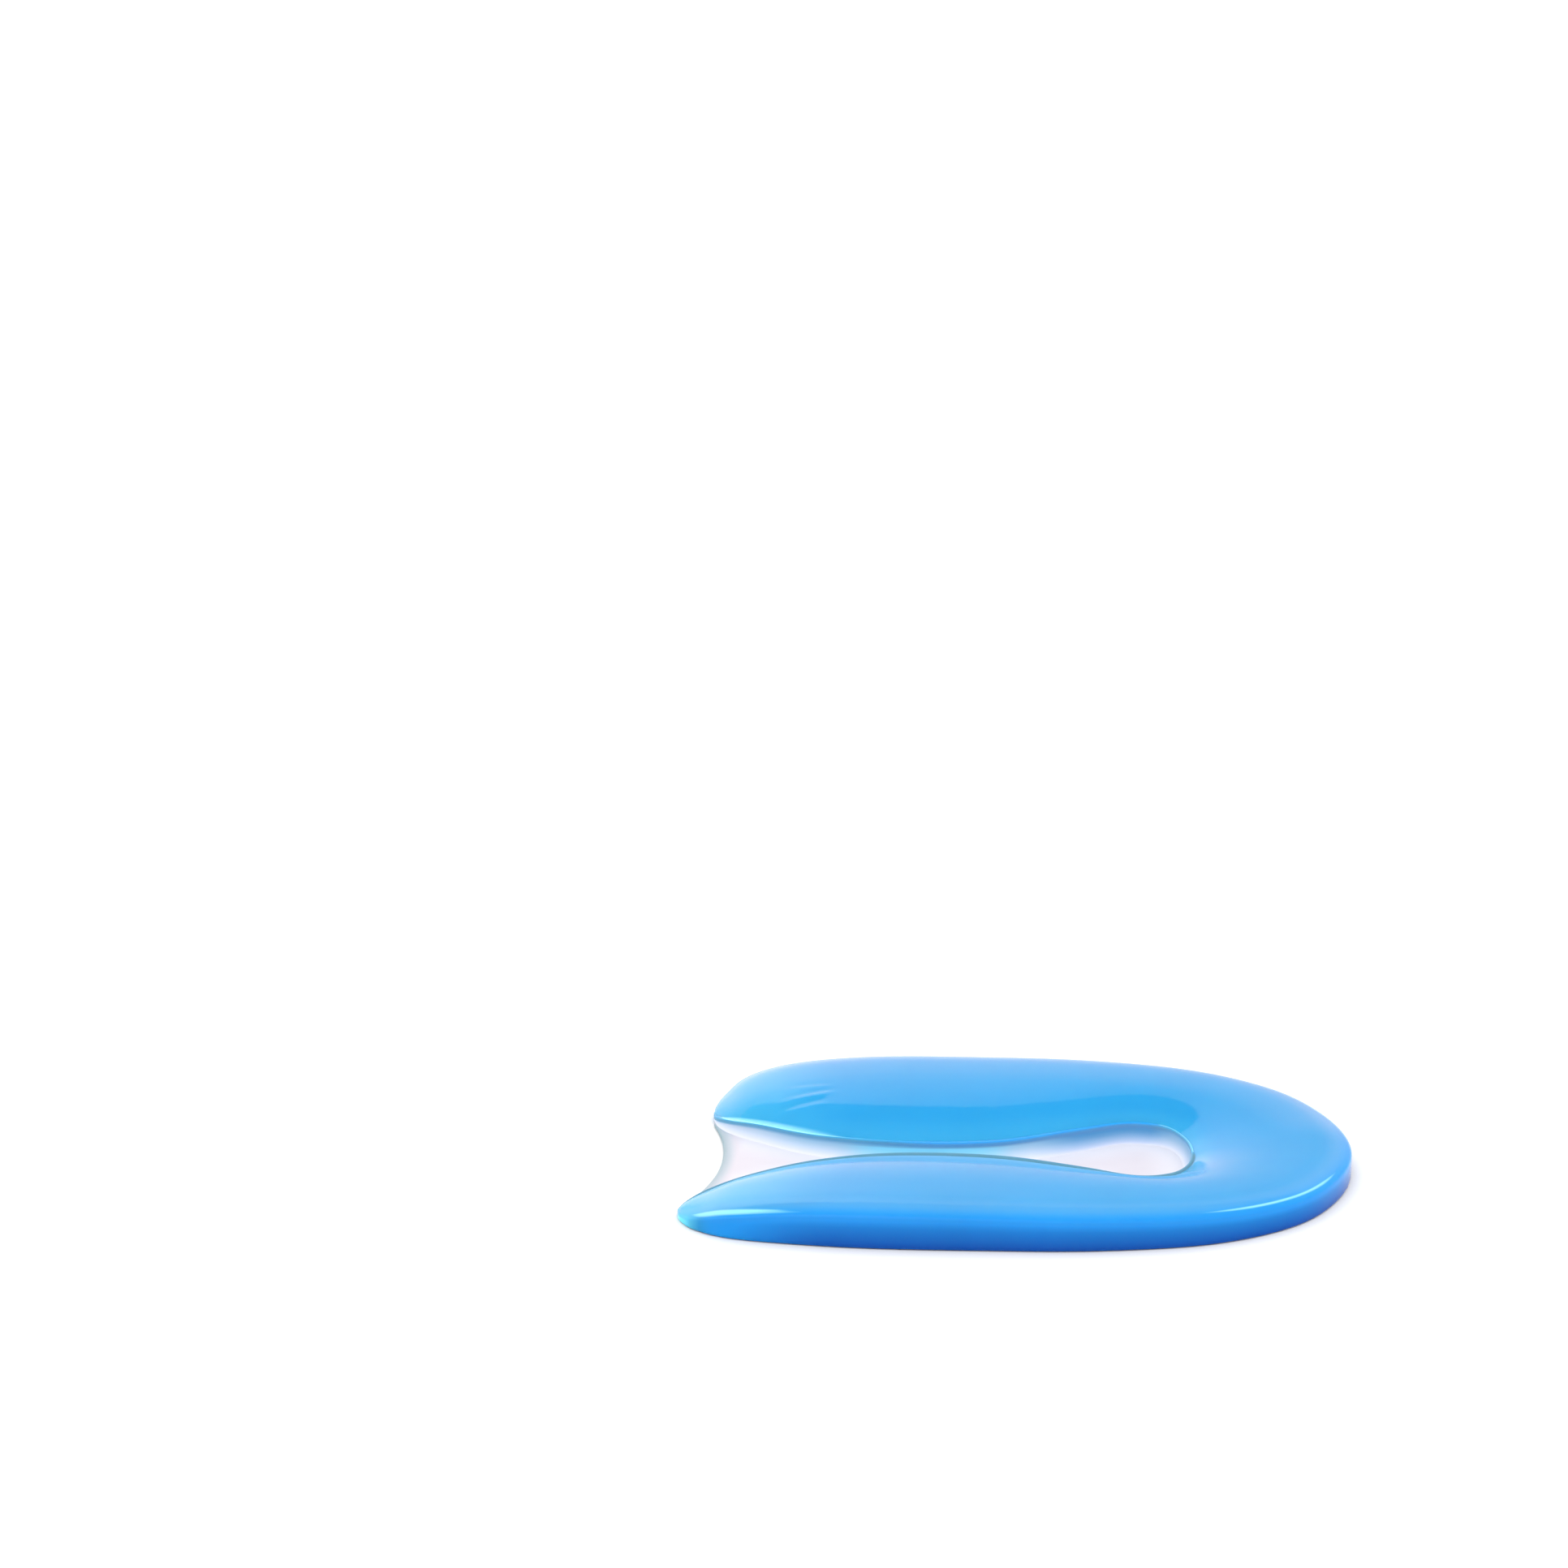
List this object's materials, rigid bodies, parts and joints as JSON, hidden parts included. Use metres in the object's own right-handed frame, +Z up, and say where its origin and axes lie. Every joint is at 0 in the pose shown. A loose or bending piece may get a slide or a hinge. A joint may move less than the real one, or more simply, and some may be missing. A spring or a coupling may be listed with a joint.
{
  "type": "u-shaped heel pad",
  "caption": "Soft translucent blue gel heel pad in a U shape, with a keyhole relief slot under the heel closed below by a clear film; lies in a shoe to ease heel pain.",
  "frame": {"origin": "under the middle of the pad, on the surface that it lies on", "axes": "+X towards the back of the heel, with the arms reaching towards -X; +Z up from the surface"},
  "size_m": [0.1, 0.065, 0.0065],
  "materials": {
    "blue_gel": "glossy translucent soft gel",
    "clear_film": "clear glossy soft film"
  },
  "bodies": {
    "root": {"gel_pad": "blue_gel", "slot_film": "clear_film"}
  },
  "joints": []
}
